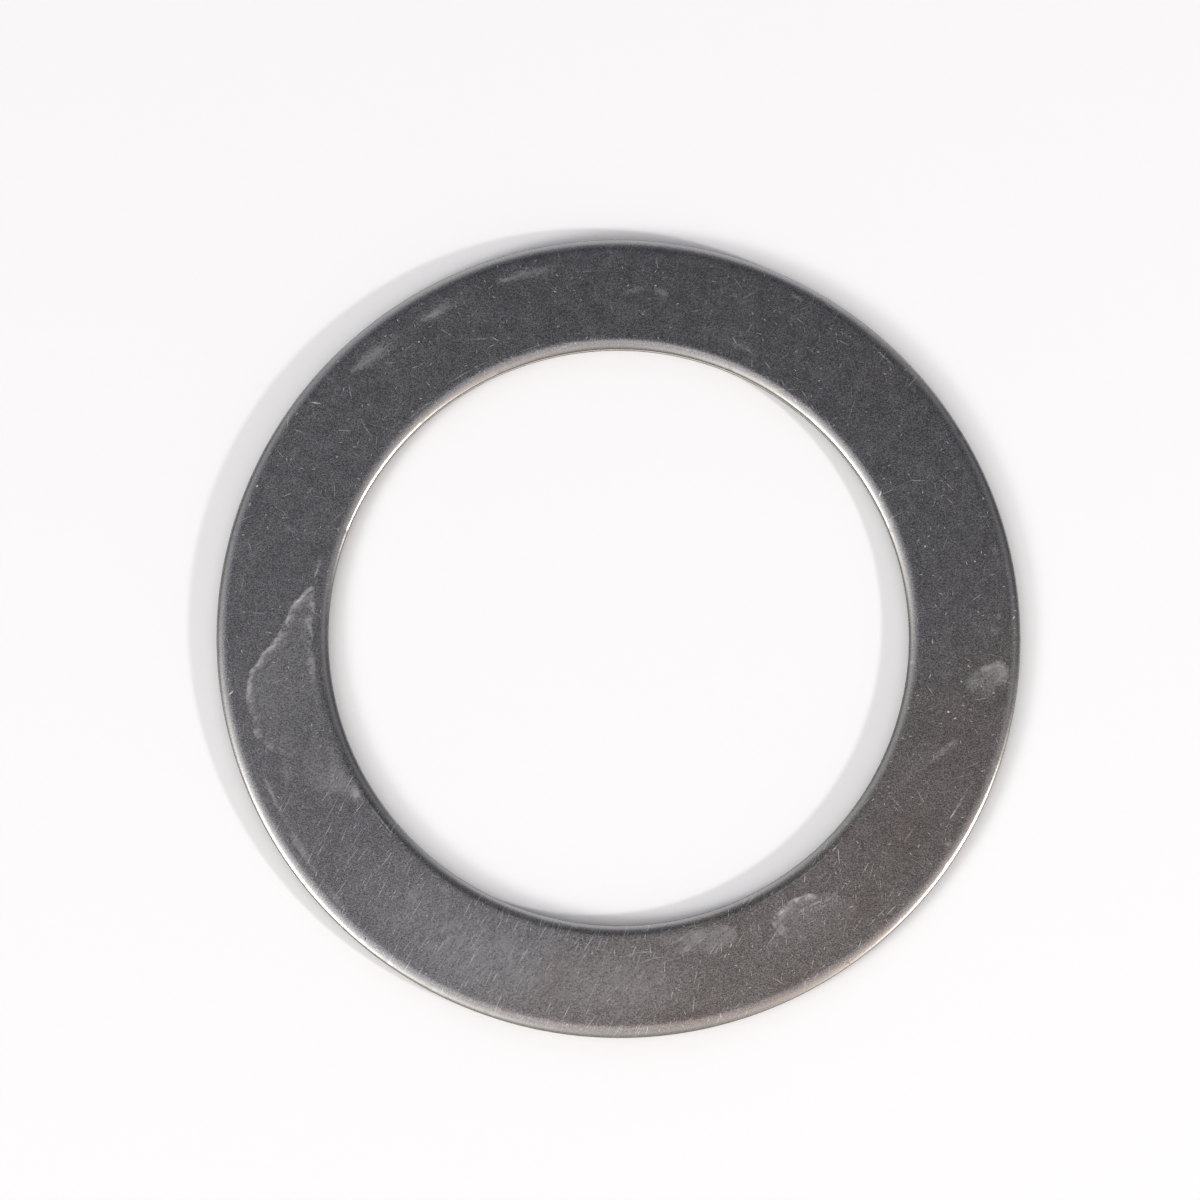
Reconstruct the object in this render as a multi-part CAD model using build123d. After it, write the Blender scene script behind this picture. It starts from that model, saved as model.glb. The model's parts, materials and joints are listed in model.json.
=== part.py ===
from build123d import *
import os

# A large flat washer, stamped from steel sheet in one piece and tumbled.
# Millimetres. The Z axis is the axis of the bore, Z = 0 is the face it rests on, and the face
# with the rolled-over edges points up.

# Driving dimensions of the ring.
OUTSIDE_DIAMETER = 90.0
BORE_DIAMETER = 65.0
THICKNESS = 2.0

# The cut edge, from the upper face down. The dies first draw the sheet down into a rounded
# shoulder, then shear a smooth upright land, and below it the steel tears with a slight taper
# away from the cut. Tumbling takes off the burr at the foot. Both edges have the same form.
SHOULDER_WIDTH = 1.3
SHOULDER_DEPTH = 0.5
LAND_HEIGHT = 0.6
TEAR_TAPER = 0.06
FOOT_BREAK = 0.15

RIM_RADIUS = OUTSIDE_DIAMETER / 2
BORE_RADIUS = BORE_DIAMETER / 2
LAND_TOP = THICKNESS - SHOULDER_DEPTH
LAND_FOOT = LAND_TOP - LAND_HEIGHT

QUARTER_TURN = 90
FULL_TURN = 360


def edge_foot(wall_radius, inward):
    """Corner points of one cut edge from the resting face up to the top of the land.

    inward is -1 at the rim, where the steel lies towards the axis, and +1 at the bore.
    """
    torn_radius = wall_radius + inward * TEAR_TAPER
    return [
        (torn_radius + inward * FOOT_BREAK, 0),
        (torn_radius, FOOT_BREAK),
        (wall_radius, LAND_FOOT),
        (wall_radius, LAND_TOP),
    ]


def edge_shoulder(wall_radius, inward):
    """The rolled-over shoulder, a quarter of an ellipse between the land and the upper face."""
    centre = (wall_radius + inward * SHOULDER_WIDTH, LAND_TOP)
    start = 0 if inward < 0 else QUARTER_TURN
    return EllipticalCenterArc(centre, SHOULDER_WIDTH, SHOULDER_DEPTH, start, arc_size=QUARTER_TURN)


def ring_section():
    """Cross-section of the ring on one side of its axis."""
    rim_side = edge_foot(RIM_RADIUS, -1)
    bore_side = edge_foot(BORE_RADIUS, 1)
    upper_face = [
        (RIM_RADIUS - SHOULDER_WIDTH, THICKNESS),
        (BORE_RADIUS + SHOULDER_WIDTH, THICKNESS),
    ]
    with BuildSketch(Plane.XZ) as section:
        with BuildLine():
            Polyline(rim_side)
            edge_shoulder(RIM_RADIUS, -1)
            Line(*upper_face)
            edge_shoulder(BORE_RADIUS, 1)
            Polyline(bore_side)
            Line(bore_side[0], rim_side[0])
        make_face()
    return section.sketch


def washer_ring():
    """The whole washer: its section carried once round the bore's axis."""
    ring = revolve(ring_section(), axis=Axis.Z, revolution_arc=FULL_TURN)
    return ring.solids()[0]


os.makedirs("parts", exist_ok=True)
ring = washer_ring()
ring.label = "washer_ring"
export_step(ring, "parts/washer_ring.step")
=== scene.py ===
"""Looks of a large flat washer: one ring, stamped from cold-rolled steel sheet and tumbled.

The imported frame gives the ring's place and its working sizes. This script builds the ring again as
a fine closed surface, with its drawn shoulders, burnished land and torn edge, gives each of them
its own finish, and sets it on a plain pale board under soft studio light.
"""
import json
import logging
import math
from collections.abc import Mapping
from dataclasses import dataclass, field
from enum import Enum

import bpy
import numpy as np
from bpy.types import Material, Mesh, Node, NodeSocket, NodeTree, Object
from mathutils import Matrix, Vector


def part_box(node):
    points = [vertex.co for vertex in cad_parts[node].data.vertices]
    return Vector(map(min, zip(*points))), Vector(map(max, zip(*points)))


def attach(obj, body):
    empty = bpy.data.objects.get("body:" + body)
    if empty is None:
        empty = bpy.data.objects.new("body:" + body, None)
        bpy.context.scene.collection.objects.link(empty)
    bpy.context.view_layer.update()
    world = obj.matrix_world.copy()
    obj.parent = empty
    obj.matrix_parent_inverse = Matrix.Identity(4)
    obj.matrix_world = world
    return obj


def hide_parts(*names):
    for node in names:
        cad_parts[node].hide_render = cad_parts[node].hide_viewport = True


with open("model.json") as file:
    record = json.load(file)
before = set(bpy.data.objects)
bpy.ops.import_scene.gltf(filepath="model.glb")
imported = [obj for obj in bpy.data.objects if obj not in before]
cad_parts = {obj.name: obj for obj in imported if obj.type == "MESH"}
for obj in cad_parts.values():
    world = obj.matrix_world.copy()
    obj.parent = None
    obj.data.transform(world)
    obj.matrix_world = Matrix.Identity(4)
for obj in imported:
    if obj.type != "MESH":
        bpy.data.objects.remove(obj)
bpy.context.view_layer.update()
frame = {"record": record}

LOG = logging.getLogger("flat_washer")

MM = 0.001  # one millimetre in the scene's metres
PER_M = 1 / MM
FULL_TURN = 2 * math.pi
QUARTER_TURN = math.pi / 2
CAD_NODE = "washer_ring"
BODY = "root"


def linear(hex_colour: str) -> tuple[float, float, float, float]:
    """Turns an sRGB hex colour into linear light.

    Each channel follows the sRGB curve: a straight toe below 0.04045 and a power of 2.4 above it.

    Args:
        hex_colour: Six hex digits after a hash, such as "#8A8886".

    Returns:
        Linear red, green and blue, and an alpha of 1.
    """
    shares = [int(hex_colour[i:i + 2], 16) / 255 for i in (1, 3, 5)]
    light = [s / 12.92 if s <= 0.04045 else ((s + 0.055) / 1.055) ** 2.4 for s in shares]
    return light[0], light[1], light[2], 1.0


def add_node(tree: NodeTree, kind: str, settings: Mapping[str, object] | None = None,
             inputs: Mapping[str | int, object] | None = None) -> Node:
    """Adds one node, sets its options, and links or fills its inputs.

    Args:
        tree: The node tree that gets it.
        kind: The node's type name after "ShaderNode".
        settings: Options by property name.
        inputs: Input sockets by name or number, each with a value or with a socket to link from.

    Returns:
        The new node.
    """
    made = tree.nodes.new("ShaderNode" + kind)
    for name, value in (settings or {}).items():
        setattr(made, name, value)
    for key, value in (inputs or {}).items():
        if isinstance(value, NodeSocket):
            tree.links.new(value, made.inputs[key])
        else:
            made.inputs[key].default_value = value
    return made


# ---------------------------------------------------------------------------------------------
# Wear on the steel
# ---------------------------------------------------------------------------------------------


class Trace(Enum):
    """What a mark on the steel is made of. The value names the mesh attribute that carries it."""

    FILM = "film"
    TINT = "tint"
    STREAK = "streak"
    SCRATCH = "scratch"
    PIT = "pit"
    RUST = "rust"


@dataclass(frozen=True)
class Mark:
    """One oval mark on a face of the ring, which may be bent into an arc.

    Attributes:
        bearing: Direction of its middle from the axis, in degrees anticlockwise from +X.
        reach: Distance of its middle from the axis, in mm.
        long: Half its length, in mm.
        wide: Half its width, in mm.
        heading: Direction of its length, in degrees from +X.
        strength: How plainly it shows, from 0 to 1.
        bend: How far its ends lie to the left of its middle, in mm, looking along its heading.
    """

    bearing: float
    reach: float
    long: float
    wide: float
    heading: float = 0.0
    strength: float = 0.5
    bend: float = 0.0

    def place(self, spots: np.ndarray) -> np.ndarray:
        """Where spots lie along and across the mark, in units of its half-sizes.

        Spots are measured from its middle and turned back by its heading. The bend times the
        square of the first, in half-lengths, is taken off the second.

        Args:
            spots: Places in mm, with X and Y last.

        Returns:
            Places in the same layout, with along and across last.
        """
        bearing, heading = math.radians(self.bearing), math.radians(self.heading)
        east = spots[..., 0] - self.reach * math.cos(bearing)
        north = spots[..., 1] - self.reach * math.sin(bearing)
        along = (east * math.cos(heading) + north * math.sin(heading)) / self.long
        across = (north * math.cos(heading) - east * math.sin(heading)) / self.wide
        return np.stack([along, across - self.bend / self.wide * along ** 2], axis=-1)


def hugging(bearing: float, reach: float, long: float, wide: float, strength: float,
            drift: float = 0.0) -> Mark:
    """A mark that follows the ring round: its ends bend in by length squared over twice the reach.

    Args:
        bearing: Direction of its middle, in degrees.
        reach: Distance of its middle from the axis, in mm.
        long: Half its length, in mm.
        wide: Half its width, in mm.
        strength: How plainly it shows.
        drift: Degrees by which it leaves the ring's own direction, outwards ahead.

    Returns:
        The mark.
    """
    return Mark(bearing, reach, long, wide, bearing + 90 - drift, strength, long ** 2 / (2 * reach))


@dataclass(frozen=True)
class Puddle:
    """A dried puddle: a thin haze inside and a paler line where its edge dried last.

    Attributes:
        outline: Points round its edge, each a bearing in degrees and a reach in mm.
        haze: How plainly its inside shows, from 0 to 1.
        tide: How plainly its edge shows, from 0 to 1.
        heading: Direction of the side where it shows most, in degrees; the far side fades out.
    """

    outline: tuple[tuple[float, float], ...]
    haze: float
    tide: float
    heading: float

    def knots(self) -> np.ndarray:
        """The outline's points in mm, as rows of X and Y."""
        degrees, reach = np.array(self.outline).T
        bearing = np.radians(degrees)
        return np.stack([reach * np.cos(bearing), reach * np.sin(bearing)], axis=-1)

    def edge(self, steps: int = 16) -> np.ndarray:
        """The outline as a closed curve through its points.

        Between two points it is the cubic whose slope at each of them is half the step from the
        point before to the point after.

        Args:
            steps: Steps from each point to the next.

        Returns:
            Places on the curve in mm, as rows of X and Y.
        """
        here = self.knots()[:, None, :]
        back, ahead, beyond = (np.roll(here, shift, axis=0) for shift in (1, -1, -2))
        t = np.linspace(0, 1, steps, endpoint=False)[None, :, None]
        curve = (here + 0.5 * t * (ahead - back + t * (2 * back - 5 * here + 4 * ahead - beyond
                                                       + t * (3 * (here - ahead) + beyond - back))))
        return curve.reshape(-1, 2)

    def depth(self, spots: np.ndarray) -> np.ndarray:
        """How far inside the edge spots lie, in mm, and less than 0 outside it.

        The distance is that to the nearest place on the edge. A spot is inside where the angles
        under which it sees the edge's steps add up to a full turn.

        Args:
            spots: Places in mm, as rows of X and Y.

        Returns:
            One depth for each spot.
        """
        edge = self.edge()
        sight = edge[None, :, :] - spots[:, None, :]
        after = np.roll(sight, -1, axis=1)
        cross = sight[..., 0] * after[..., 1] - sight[..., 1] * after[..., 0]
        turned = np.arctan2(cross, (sight * after).sum(axis=-1)).sum(axis=1)
        distance = np.sqrt((sight ** 2).sum(axis=-1)).min(axis=1)
        return np.where(np.abs(turned) > math.pi, distance, -distance)

    def favour(self, spots: np.ndarray) -> np.ndarray:
        """How much of the puddle is left at spots: 0 on its far side, 1 where it shows most.

        It is the share of the way along the heading, to the power of 0.8.

        Args:
            spots: Places in mm, as rows of X and Y.

        Returns:
            One share for each spot.
        """
        heading = math.radians(self.heading)
        towards = np.array([math.cos(heading), math.sin(heading)])
        along = self.knots() @ towards
        lowest, highest = along.min(), along.max()
        return np.clip((spots @ towards - lowest) / (highest - lowest), 0, 1) ** 0.8


PUDDLES = (
    # The tongue-shaped water stain on the left, from the bore outwards.
    Puddle(
        ((171.4, 35.2), (173.9, 36.4), (176.8, 37.2), (180.3, 38.4), (182.7, 39.8), (185.0, 41.1),
         (187.2, 41.8), (189.5, 42.2), (192.0, 42.3), (195.0, 42.2), (199.0, 40.6), (201.0, 37.6),
         (197.0, 34.6), (190.0, 34.0), (184.0, 34.2), (178.0, 34.3), (173.5, 34.2), (170.9, 34.5)),
        haze=0.13, tide=0.36, heading=148),
    # The leaf-shaped smear high on the left.
    Puddle(
        ((135.4, 42.5), (132.0, 42.9), (128.5, 42.8), (125.5, 42.3), (124.0, 41.5), (127.3, 41.0),
         (130.9, 41.0), (133.6, 41.5)),
        haze=0.40, tide=0.10, heading=200),
    # The blotch on the right.
    Puddle(
        ((356.2, 43.4), (355.8, 41.4), (354.4, 39.9), (352.0, 39.0), (350.2, 39.9), (350.6, 41.9),
         (352.0, 43.3), (354.2, 43.9)),
        haze=0.40, tide=0.12, heading=60),
    # The arch low on the right.
    Puddle(
        ((297.4, 36.7), (299.5, 35.8), (302.0, 35.4), (305.0, 35.6), (308.0, 36.6), (310.4, 38.3),
         (311.0, 40.2), (308.5, 41.2), (303.0, 40.8), (299.0, 39.0)),
        haze=0.20, tide=0.42, heading=118),
    # The cloud beside the bore, low on the right.
    Puddle(
        ((276.0, 34.2), (281.0, 33.9), (286.5, 34.0), (290.5, 34.4), (291.5, 36.2), (287.5, 37.2),
         (282.5, 36.8), (278.0, 35.8)),
        haze=0.26, tide=0.06, heading=30),
    # The blotch beside the bore, low on the left.
    Puddle(
        ((199.0, 34.6), (205.0, 34.0), (212.8, 33.8), (213.0, 35.0), (209.5, 36.2), (207.0, 38.4),
         (202.5, 39.0), (198.5, 37.4)),
        haze=0.24, tide=0.05, heading=330),
)

MARKS: Mapping[Trace, tuple[Mark, ...]] = {
    Trace.FILM: (
        # The scuffed, dusty stretch at the bottom.
        hugging(249.0, 39.0, 24.0, 8.0, 0.20),
        hugging(272.0, 39.5, 9.0, 5.0, 0.12),
        # Smears along the upper left.
        hugging(104.0, 42.3, 4.4, 0.75, 0.24),
        hugging(118.5, 42.0, 3.7, 0.95, 0.26),
        hugging(120.5, 42.0, 1.7, 0.55, 0.30),
        hugging(107.5, 42.3, 1.6, 0.35, 0.28, 8.0),
        Mark(150.2, 41.9, 0.9, 0.50, 235, 0.18),
        Mark(162.0, 38.7, 0.9, 0.50, 160, 0.16),
        Mark(167.0, 34.6, 1.6, 0.50, 255, 0.22),
        # Low on the left: the pale band along the shoulder, and patches nearer the bore.
        hugging(205.0, 42.6, 4.2, 0.42, 0.34),
        hugging(214.5, 42.8, 4.4, 0.50, 0.40, 3.0),
        hugging(223.0, 43.2, 3.4, 0.45, 0.26, 3.0),
        Mark(211.0, 34.3, 0.9, 0.60, 310, 0.48),
        Mark(202.5, 40.2, 2.2, 1.00, 290, 0.16),
        Mark(231.8, 37.1, 1.2, 0.70, 60, 0.22),
        Mark(236.0, 34.6, 1.1, 0.60, 320, 0.18),
        # Low on the right.
        Mark(284.5, 34.9, 1.6, 0.80, 20, 0.26),
        Mark(281.5, 36.0, 1.8, 0.50, 40, 0.20),
        Mark(300.4, 35.9, 1.8, 0.60, 38, 0.34),
        Mark(296.5, 38.4, 3.4, 0.80, 62, 0.16),
        Mark(294.0, 36.9, 2.2, 0.80, 100, 0.14),
        # The right-hand side.
        Mark(354.9, 41.4, 0.8, 0.55, 20, 0.34),
        Mark(352.2, 39.9, 0.9, 0.70, 300, 0.26),
        Mark(340.1, 38.4, 2.8, 0.55, 39, 0.28),
        Mark(341.9, 39.3, 1.0, 0.50, 60, 0.24),
        Mark(334.0, 35.9, 3.4, 0.70, 55, 0.10),
        Mark(327.4, 43.6, 0.7, 0.45, 50, 0.40),
        Mark(0.6, 42.2, 0.9, 0.70, 0, 0.28),
        Mark(2.9, 42.6, 0.7, 0.50, 80, 0.24),
        Mark(12.9, 43.2, 0.9, 0.40, 100, 0.24),
        # The small V of pale specks near the top.
        Mark(82.9, 39.3, 1.3, 0.50, 152, 0.30),
        Mark(87.4, 39.2, 2.0, 0.42, 198, 0.32),
        hugging(67.0, 35.6, 2.1, 0.60, 0.22),
        hugging(62.2, 43.3, 1.0, 0.35, 0.20),
    ),
    Trace.TINT: (
        # Thin brown oxide, mostly low on the right.
        Mark(259.0, 39.0, 4.4, 2.6, 260, 0.50),
        Mark(281.0, 43.3, 6.0, 1.2, 11, 0.50, 0.4),
        Mark(296.0, 43.2, 4.0, 1.2, 26, 0.42, 0.2),
        Mark(325.0, 39.5, 7.0, 3.6, 60, 0.40),
        Mark(343.0, 39.5, 5.0, 3.6, 80, 0.30),
        Mark(311.0, 40.5, 6.0, 3.2, 40, 0.34),
        Mark(45.0, 41.4, 2.6, 1.5, 135, 0.40),
        Mark(22.5, 41.2, 1.2, 0.9, 110, 0.35),
        Mark(136.1, 39.6, 0.7, 0.5, 60, 0.80),
        hugging(95.6, 39.8, 1.7, 0.35, 0.70),
        Mark(208.0, 43.0, 2.2, 0.6, 300, 0.34),
    ),
    Trace.STREAK: (
        # The thin curved line where water stood, high on the left, and its fainter end, then
        # wiped lines low on the left, at the bottom and along the shoulders.
        Mark(138.0, 40.4, 2.3, 0.13, 283, 0.50, 0.35),
        Mark(140.3, 37.0, 2.1, 0.12, 300, 0.42, 0.15),
        hugging(218.0, 33.7, 3.0, 0.16, 0.50),
        Mark(273.5, 35.6, 2.6, 0.13, 8, 0.40, -0.6),
        Mark(275.6, 36.4, 2.4, 0.12, 14, 0.40, -0.7),
        Mark(278.2, 36.9, 2.2, 0.12, 24, 0.34, -0.5),
        Mark(281.6, 34.6, 1.9, 0.13, 35, 0.36, 0.3),
        Mark(305.0, 37.0, 2.4, 0.18, 25, 0.40, -0.5),
        Mark(306.4, 37.9, 1.8, 0.14, 30, 0.30, -0.3),
        hugging(46.4, 43.5, 2.4, 0.16, 0.35),
        hugging(333.2, 42.4, 1.9, 0.18, 0.45, 4.0),
        hugging(325.1, 39.3, 1.5, 0.16, 0.32),
        hugging(119.5, 34.3, 3.8, 0.10, 0.40),
        hugging(132.0, 33.9, 2.2, 0.10, 0.45, 3.0),
        hugging(106.0, 34.0, 2.6, 0.08, 0.30, -2.0),
    ),
    Trace.SCRATCH: (
        # The plain ones: nicks along the bore high on the right, and short bright ticks.
        Mark(28.6, 33.45, 0.55, 0.11, 72, 1.00),
        Mark(45.5, 33.7, 1.0, 0.06, 116, 0.50),
        Mark(50.8, 34.0, 1.6, 0.06, 123, 0.60),
        Mark(52.6, 34.4, 0.9, 0.06, 122, 0.50),
        Mark(57.2, 34.1, 0.7, 0.06, 118, 0.45),
        Mark(61.2, 34.9, 1.1, 0.06, 128, 0.50),
        Mark(65.2, 35.4, 0.9, 0.06, 140, 0.45),
        Mark(68.6, 35.9, 0.7, 0.06, 120, 0.55),
        Mark(11.8, 40.8, 0.17, 0.13, 0, 0.85),
        Mark(16.3, 35.8, 0.22, 0.15, 40, 0.65),
        Mark(9.3, 42.4, 0.55, 0.08, 9, 0.45),
        Mark(2.6, 44.3, 0.30, 0.10, 60, 0.85),
        Mark(3.6, 44.5, 0.20, 0.10, 10, 0.75),
        Mark(83.9, 39.9, 0.20, 0.13, 0, 0.75),
        Mark(88.4, 39.7, 0.24, 0.13, 40, 0.60),
        Mark(124.0, 40.1, 0.17, 0.13, 0, 0.85),
        Mark(142.3, 43.0, 0.9, 0.10, 173, 0.75),
        Mark(157.4, 43.9, 0.26, 0.12, 40, 0.90),
        Mark(160.3, 43.9, 0.34, 0.10, 240, 0.65),
        Mark(112.4, 36.3, 0.7, 0.07, 150, 0.55),
        Mark(126.9, 35.6, 0.6, 0.06, 130, 0.55),
        Mark(144.3, 36.5, 0.3, 0.09, 170, 0.60),
        hugging(168.2, 34.6, 1.1, 0.10, 0.45, 12.0),
        Mark(188.5, 43.8, 0.5, 0.10, 220, 0.95),
        Mark(218.4, 43.1, 0.5, 0.07, 260, 0.55),
        Mark(277.6, 39.4, 0.7, 0.06, 98, 0.65),
        Mark(277.0, 39.0, 0.6, 0.06, 135, 0.55),
        Mark(284.7, 44.1, 0.5, 0.08, 100, 0.65),
        Mark(294.5, 42.6, 1.5, 0.06, 330, 0.50),
        Mark(288.9, 37.6, 1.0, 0.09, 67, 0.80),
        Mark(288.1, 37.8, 0.5, 0.08, 60, 0.65),
        Mark(289.6, 36.9, 0.4, 0.09, 67, 0.80),
        Mark(310.2, 39.9, 0.3, 0.09, 20, 0.60),
        Mark(315.0, 33.9, 0.5, 0.08, 45, 0.70),
        Mark(324.6, 40.9, 0.24, 0.12, 60, 0.55),
        hugging(331.5, 42.3, 0.9, 0.10, 0.60, 6.0),
        Mark(339.4, 43.4, 0.35, 0.07, 20, 0.65),
        Mark(346.8, 37.8, 0.20, 0.17, 0, 1.00),
        Mark(346.0, 38.7, 0.28, 0.10, 20, 0.85),
        Mark(351.2, 42.4, 0.20, 0.12, 0, 0.75),
        Mark(354.9, 39.3, 0.35, 0.10, 320, 0.65),
        Mark(352.5, 35.1, 0.45, 0.12, 80, 0.55),
        Mark(358.8, 35.1, 0.45, 0.12, 90, 0.65),
    ),
    Trace.PIT: (
        # Dark pits, and grime caught in thin lines along the shoulders.
        hugging(261.8, 34.3, 0.75, 0.16, 0.95),
        Mark(262.8, 34.4, 0.35, 0.26, 340, 0.85),
        Mark(143.4, 33.4, 0.40, 0.16, 233, 0.75),
        Mark(199.1, 40.2, 0.75, 0.20, 270, 0.60),
        Mark(211.6, 38.5, 0.16, 0.16, 0, 0.80),
        Mark(221.1, 41.2, 0.20, 0.16, 0, 0.65),
        Mark(230.2, 44.2, 0.18, 0.18, 0, 0.65),
        Mark(239.5, 41.2, 0.22, 0.16, 0, 0.60),
        Mark(195.6, 43.5, 0.20, 0.12, 280, 0.50),
        hugging(203.0, 43.45, 4.4, 0.24, 0.34, 2.0),
        hugging(214.0, 43.75, 4.4, 0.22, 0.30, 2.0),
        hugging(307.0, 33.9, 7.4, 0.14, 0.40),
        hugging(283.0, 33.6, 5.0, 0.12, 0.30),
        hugging(128.0, 33.75, 6.0, 0.10, 0.35),
    ),
    Trace.RUST: (
        # The speck of loose rust on the rim.
        Mark(304.6, 44.75, 0.42, 0.34, 30, 1.00),
        Mark(303.9, 44.98, 0.24, 0.22, 30, 0.75),
    ),
}


@dataclass(frozen=True)
class Barrel:
    """The fine random scratches that tumbling and handling leave on a face.

    Attributes:
        count: Number of them.
        bearing: Middle of the sector they lie in, in degrees.
        sector: Half the sector, in degrees.
        heading: Mean direction, in degrees.
        scatter: Largest turn from that direction, in degrees.
        longest: Half the greatest length, in mm.
        strength: Greatest strength.
    """

    count: int
    bearing: float
    sector: float
    heading: float
    scatter: float
    longest: float
    strength: float

    def marks(self, inner: float, outer: float, random: np.random.Generator) -> tuple[Mark, ...]:
        """Draws the scratches.

        Real ones are 0.01 to 0.05 mm wide; these are 0.06 to 0.1 mm, so that they show.

        Args:
            inner: Least reach in mm.
            outer: Greatest reach in mm.
            random: The seeded source.

        Returns:
            The scratches.
        """
        return tuple(
            Mark(self.bearing + self.sector * random.uniform(-1, 1), random.uniform(inner, outer),
                 0.25 + self.longest * random.random() ** 2, random.uniform(0.030, 0.050),
                 self.heading + self.scatter * random.uniform(-1, 1),
                 self.strength * random.uniform(0.25, 1.0))
            for _ in range(self.count))


LIGHT = Barrel(620, 0, 180, 60, 90, 1.8, 0.55)  # faint, all over the upper face, in any direction
DRAGGED = Barrel(420, 240, 34, 61, 9, 2.3, 0.80)  # side by side, low on the left
CROSSED = Barrel(280, 290, 28, 70, 28, 1.9, 0.85)  # at looser angles, low on the right
SPECKS = Barrel(700, 0, 180, 0, 180, 0.0, 0.95)  # points, all over the upper face
HIDDEN = Barrel(900, 0, 180, 30, 90, 2.4, 0.45)  # on the resting face


@dataclass
class WearMap:
    """Works out what the marks are at each point or face corner of the ring's grid.

    Attributes:
        spots: The grid's places in mm, rows by columns by X and Y.
        spare: Extra length that is searched beyond a mark's ends, in mm.
        spare_angle: Extra angle that is searched beyond a puddle's outline, in degrees.
        stroke_edge: Half-sizes from a fine mark's middle within which it may still show, when its
            place is pushed about by noise.
        nowhere: The depth in mm that stands for a point far from every puddle.
    """

    spots: np.ndarray
    spare: float = 0.6
    spare_angle: float = 2.5
    stroke_edge: float = 1.6
    nowhere: float = -9.0

    def window(self, bearing: float, half: float) -> np.ndarray:
        """The columns that lie within half an angle of a bearing, both in degrees."""
        columns = self.spots.shape[1]
        step = 360 / columns
        first, last = math.floor((bearing - half) / step), math.ceil((bearing + half) / step)
        return np.arange(first, last + 1) % columns

    def span(self, mark: Mark) -> np.ndarray:
        """The columns that a mark may touch."""
        half = math.degrees((mark.long + mark.wide + self.spare) / mark.reach)
        return self.window(mark.bearing, half)

    def cover(self, marks: tuple[Mark, ...], rows: np.ndarray) -> np.ndarray:
        """How far soft marks cover each point. What one leaves bare, the next covers by its share.

        A mark's cover falls smoothly from its strength in the middle to nothing where its along
        and across places together reach 1.

        Args:
            marks: The marks.
            rows: The rows they lie on.

        Returns:
            The cover, rows by columns, from 0 to 1.
        """
        bare = np.ones(self.spots.shape[:2])
        for mark in marks:
            block = np.ix_(rows, self.span(mark))
            away = np.linalg.norm(mark.place(self.spots[block]), axis=-1)
            left = np.clip(1 - away, 0, 1)
            bare[block] *= 1 - mark.strength * left ** 2 * (3 - 2 * left)
        return 1 - bare

    def strokes(self, marks: tuple[Mark, ...], rows: np.ndarray) -> np.ndarray:
        """Places of face corners in fine marks, which are narrower than a face of the grid.

        A face takes the last mark that crosses it, and each of its corners gets its own place
        along and across that mark. The shader draws the mark from those at any fineness.

        Args:
            marks: The marks.
            rows: The rows of faces they lie on.

        Returns:
            Rows by columns by 4 corners by along, across and strength.
        """
        count, columns = self.spots.shape[:2]
        layer = np.zeros((count, columns, 4, 3))
        edge = self.stroke_edge
        for mark in marks:
            span = self.span(mark)
            block = np.ix_(rows, span)
            near = [self.spots[np.ix_((rows + i) % count, (span + j) % columns)]
                    for i, j in ((0, 0), (1, 0), (1, 1), (0, 1))]
            place = np.stack([mark.place(corner) for corner in near], axis=2)
            low, high = place.min(axis=2), place.max(axis=2)
            crossed = ((low < edge) & (high > -edge)).all(axis=-1)
            strength = np.full(place.shape[:-1] + (1,), mark.strength)
            carried = np.concatenate([place, strength], axis=-1)
            layer[block] = np.where(crossed[..., None, None], carried, layer[block])
        return layer

    def puddles(self, puddles: tuple[Puddle, ...], rows: np.ndarray) -> np.ndarray:
        """Depth inside the nearest puddle, in mm, with its haze and tide there.

        Args:
            puddles: The puddles, which do not overlap.
            rows: The rows they lie on.

        Returns:
            Rows by columns by depth, haze and tide.
        """
        layer = np.zeros(self.spots.shape[:2] + (3,))
        layer[..., 0] = self.nowhere
        for puddle in puddles:
            bearings = [point[0] for point in puddle.outline]
            first, last = min(bearings), max(bearings)
            half = (last - first) / 2 + self.spare_angle
            block = np.ix_(rows, self.window((first + last) / 2, half))
            spots = self.spots[block].reshape(-1, 2)
            depth, favour = puddle.depth(spots), puddle.favour(spots)
            found = np.stack([depth, favour * puddle.haze, favour * puddle.tide], axis=-1)
            found = found.reshape(layer[block].shape)
            nearer = found[..., :1] > layer[block][..., :1]
            layer[block] = np.where(nearer, found, layer[block])
        return layer


# ---------------------------------------------------------------------------------------------
# Shape
# ---------------------------------------------------------------------------------------------


class Zone(Enum):
    """Which finish a stretch of the section carries. The value is the mesh's material index."""

    TUMBLED = 0
    LAND = 1
    TORN = 2


class Part(Enum):
    """The stretches of the section, in order from the bore's shoulder round to it again."""

    TOP = "upper face"
    RIM_SHOULDER = "shoulder at the rim"
    RIM_LAND = "land at the rim"
    RIM_TEAR = "torn metal at the rim"
    RIM_CORNER = "lower corner at the rim"
    UNDER = "resting face"
    BORE_CORNER = "lower corner at the bore"
    BORE_TEAR = "torn metal at the bore"
    BORE_LAND = "land at the bore"
    BORE_SHOULDER = "shoulder at the bore"


@dataclass(frozen=True)
class Stretch:
    """Rows of the section that belong together, each without the row that ends it.

    Attributes:
        radius: Distance from the axis in mm, rows by columns.
        height: Height above the resting face in mm, rows by columns.
        zone: The finish of the rows.
        rub: How much the barrel rubbed each row, 0 on the faces and 1 at the land.
    """

    radius: np.ndarray
    height: np.ndarray
    zone: Zone
    rub: np.ndarray


def down(rows: int) -> np.ndarray:
    """Shares from 0 up to, but without, 1, as a column."""
    return np.linspace(0, 1, rows, endpoint=False)[:, None]


def up(rows: int) -> np.ndarray:
    """Shares from 1 down to, but without, 0, as a column."""
    return 1 - down(rows)


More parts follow.
